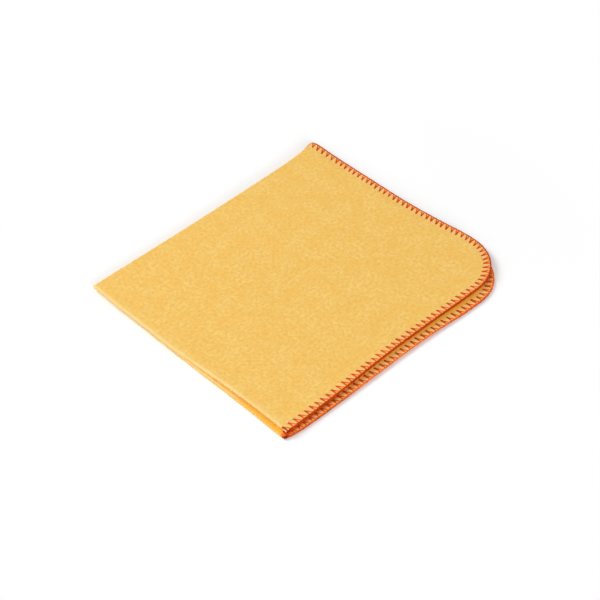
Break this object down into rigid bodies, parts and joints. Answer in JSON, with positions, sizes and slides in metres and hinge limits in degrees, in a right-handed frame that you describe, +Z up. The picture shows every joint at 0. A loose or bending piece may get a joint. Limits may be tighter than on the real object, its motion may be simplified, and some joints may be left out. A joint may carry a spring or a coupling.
{
  "type": "dusting cloth",
  "caption": "Brushed-cotton dusting cloth with an overlocked edge, folded in quarters; its second fold opens flat.",
  "frame": {"origin": "on the table under the middle of the folded cloth", "axes": "+X from the second fold towards the free edge, +Y from the first fold towards the other free edge, +Z up"},
  "size_m": [0.2268, 0.2556, 0.006],
  "materials": {
    "flannelette": "brushed cotton, matt",
    "red_thread": "twisted sewing thread, matt",
    "yellow_thread": "twisted sewing thread, matt"
  },
  "bodies": {
    "lower_half": {"lower_half_cloth": "flannelette", "lower_half_upper_looper_thread": "red_thread", "lower_half_lower_looper_thread": "red_thread", "lower_half_needle_thread": "yellow_thread"},
    "upper_half": {"upper_half_cloth": "flannelette", "upper_half_upper_looper_thread": "red_thread", "upper_half_lower_looper_thread": "red_thread", "upper_half_needle_thread": "yellow_thread"}
  },
  "joints": [
    {"name": "second_fold", "type": "hinge", "parent": "lower_half", "child": "upper_half", "pos_m": [-0.11339, 0, 0.003], "axis": [0, -1, 0], "range_deg": [0, 180]}
  ]
}
